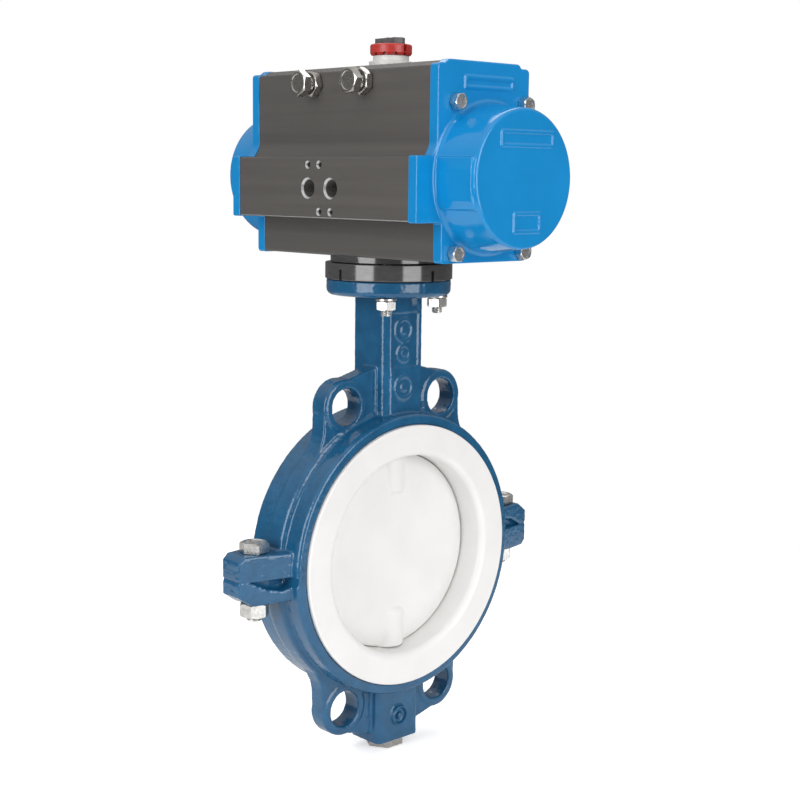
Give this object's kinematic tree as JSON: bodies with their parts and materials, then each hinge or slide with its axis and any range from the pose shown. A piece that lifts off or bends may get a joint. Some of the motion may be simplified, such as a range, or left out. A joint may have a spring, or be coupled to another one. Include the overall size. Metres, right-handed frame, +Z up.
{
  "type": "pneumatic rotary actuator with butterfly valve",
  "caption": "Spring-return rack-and-pinion pneumatic actuator bolted to a lined wafer butterfly valve; air turns the disc a quarter turn open.",
  "frame": {"origin": "where the pipe axis crosses the stem axis, at the middle of the valve disc", "axes": "+Z up along the stem to the position indicator, +X along the pipe axis and the actuator's cylinder, the air ports face -Y"},
  "size_m": [0.263, 0.283, 0.5186],
  "materials": {
    "anodised": "hard anodised, grey-brown, matt",
    "cap_paint": "bright blue gloss powder coat on die-cast aluminium",
    "valve_paint": "steel-blue epoxy on cast iron",
    "black_oxide": "black satin",
    "ptfe": "warm white, moulded and machined smooth",
    "stainless": "machined",
    "zinc": "bright zinc",
    "aluminium": "die cast and machined",
    "steel": "machined, lightly oiled",
    "spring_steel": "blued",
    "rubber": "moulded",
    "acetal": "natural",
    "red_plastic": "moulded",
    "grey_plastic": "moulded"
  },
  "bodies": {
    "frame": {"actuator_body": "anodised", "bottom_plug": "stainless", "cap_bolt_left_1": "zinc", "cap_bolt_left_2": "zinc", "cap_bolt_left_3": "zinc", "cap_bolt_left_4": "zinc", "cap_bolt_right_1": "zinc", "cap_bolt_right_2": "zinc", "cap_bolt_right_3": "zinc", "cap_bolt_right_4": "zinc", "cap_seal_left": "rubber", "cap_seal_right": "rubber", "clamp_bolt_front": "zinc", "clamp_bolt_rear": "zinc", "clamp_nut_front": "zinc", "clamp_nut_rear": "zinc", "end_cap_left": "cap_paint", "end_cap_right": "cap_paint", "flange_nut_1": "zinc", "flange_nut_2": "zinc", "flange_nut_3": "zinc", "flange_stud_1": "zinc", "flange_stud_2": "zinc", "flange_stud_3": "zinc", "flange_washer_1": "zinc", "flange_washer_2": "zinc", "flange_washer_3": "zinc", "liner_backing_ring": "rubber", "mounting_ring": "black_oxide", "pinion_bush_lower": "acetal", "pinion_bush_upper": "acetal", "return_spring_left": "spring_steel", "return_spring_right": "spring_steel", "seat_liner": "ptfe", "stem_bush_lower": "acetal", "stem_bush_upper": "acetal", "stem_packing": "rubber", "stop_lock_nut_closed": "stainless", "stop_lock_nut_open": "stainless", "thrust_washer": "acetal", "valve_body_lower": "valve_paint", "valve_body_upper": "valve_paint"},
    "drive": {"pinion": "steel", "stop_cam": "steel", "pinion_snap_ring": "spring_steel", "valve_stem": "stainless", "valve_disc": "ptfe", "indicator_base": "acetal", "indicator_cap": "red_plastic", "indicator_pointer": "grey_plastic", "indicator_screw": "stainless"},
    "piston_right": {"piston_right": "aluminium", "piston_seal_right": "rubber"},
    "piston_left": {"piston_left": "aluminium", "piston_seal_left": "rubber"},
    "stop_closed": {"stop_screw_closed": "stainless"},
    "stop_open": {"stop_screw_open": "stainless"}
  },
  "joints": [
    {"name": "drive_rotation", "type": "hinge", "parent": "frame", "child": "drive", "pos_m": [0, 0, 0.2715], "axis": [0, 0, 1], "range_deg": [0, 90], "stiffness_Nm_per_rad": 10, "springref_deg": -114.59},
    {"name": "piston_right_slide", "type": "slide", "parent": "frame", "child": "piston_right", "axis": [1, 0, 0], "range_m": [0, 0.0258], "deforming": ["return_spring_right"]},
    {"name": "piston_left_slide", "type": "slide", "parent": "frame", "child": "piston_left", "axis": [-1, 0, 0], "range_m": [0, 0.0258], "deforming": ["return_spring_left"]},
    {"name": "closed_stop_slide", "type": "slide", "parent": "frame", "child": "stop_closed", "axis": [0, -1, 0], "range_m": [0, 0.003]},
    {"name": "open_stop_slide", "type": "slide", "parent": "frame", "child": "stop_open", "axis": [0, -1, 0], "range_m": [0, 0.003]}
  ],
  "couplings": [
    {"joint": "piston_right_slide", "follows": "drive_rotation", "m_per_rad": 0.0162},
    {"joint": "piston_left_slide", "follows": "drive_rotation", "m_per_rad": 0.0162}
  ]
}
